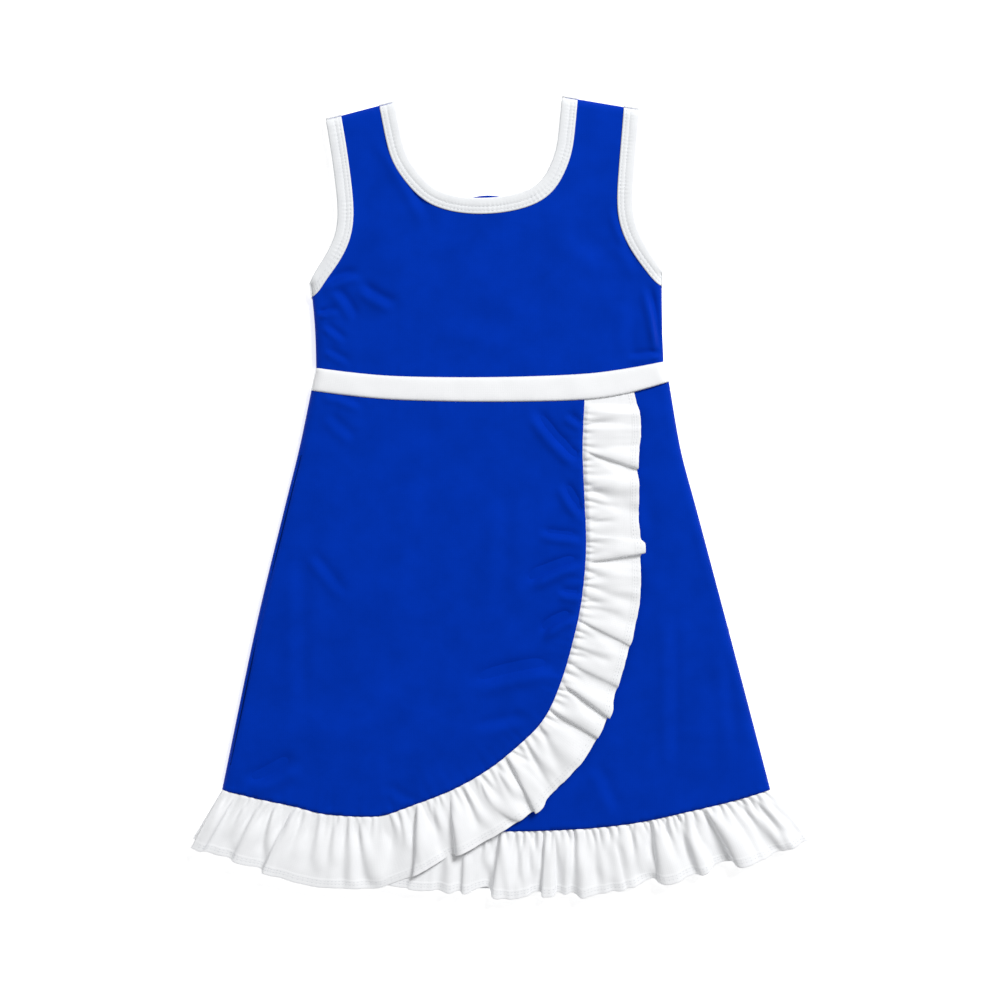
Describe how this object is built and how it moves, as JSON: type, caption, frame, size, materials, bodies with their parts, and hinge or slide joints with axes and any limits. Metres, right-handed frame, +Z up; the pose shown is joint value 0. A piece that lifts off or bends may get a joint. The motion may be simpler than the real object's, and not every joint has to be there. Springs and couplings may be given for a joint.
{
  "type": "cheer dress",
  "caption": "Child's sleeveless cheer dress laid flat: blue knit, white bound edges and waistband, and a rounded wrap panel with a gathered ruffle that folds back.",
  "frame": {"origin": "centre of the underside of the bounding box, on the surface that the dress lies on", "axes": "+Z up from the surface, through the back layer to the front; +Y from the hem to the neck; +X to the viewer's right, the wearer's left"},
  "size_m": [0.4762, 0.6162, 0.0146],
  "materials": {
    "blue_knit": "brushed polyester and spandex knit, royal blue, soft sheen",
    "white_knit": "brushed polyester and spandex knit, white",
    "overlocked_seam": "seam allowance under white overlock thread",
    "satin_tape": "woven satin label tape, blank"
  },
  "bodies": {
    "dress": {"front_bodice": "blue_knit", "back_bodice": "blue_knit", "neck_binding_front": "white_knit", "neck_binding_back": "white_knit", "armhole_binding_left_front": "white_knit", "armhole_binding_left_back": "white_knit", "armhole_binding_right_front": "white_knit", "armhole_binding_right_back": "white_knit", "shoulder_seam_left": "overlocked_seam", "shoulder_seam_right": "overlocked_seam", "side_seam_left": "overlocked_seam", "side_seam_right": "overlocked_seam", "neck_label": "blue_knit", "care_label": "satin_tape", "waistband_front": "white_knit", "waistband_facing_front": "white_knit", "waistband_back": "white_knit", "waistband_facing_back": "white_knit", "skirt_under_panel": "blue_knit", "skirt_back_panel": "blue_knit", "under_hem_seam": "overlocked_seam", "back_hem_seam": "overlocked_seam", "under_panel_ruffle": "white_knit", "back_ruffle": "white_knit", "wrap_panel": "blue_knit", "wrap_ruffle_waist_end": "white_knit", "wrap_ruffle_side_end": "white_knit"},
    "wrap": {"wrap_flap": "blue_knit", "wrap_ruffle": "white_knit"}
  },
  "joints": [
    {"name": "wrap_fold", "type": "hinge", "parent": "dress", "child": "wrap", "pos_m": [0.10982, 0.06491, 0.0146], "axis": [-0.6688, -0.7435, 0], "range_deg": [0, 170]}
  ]
}
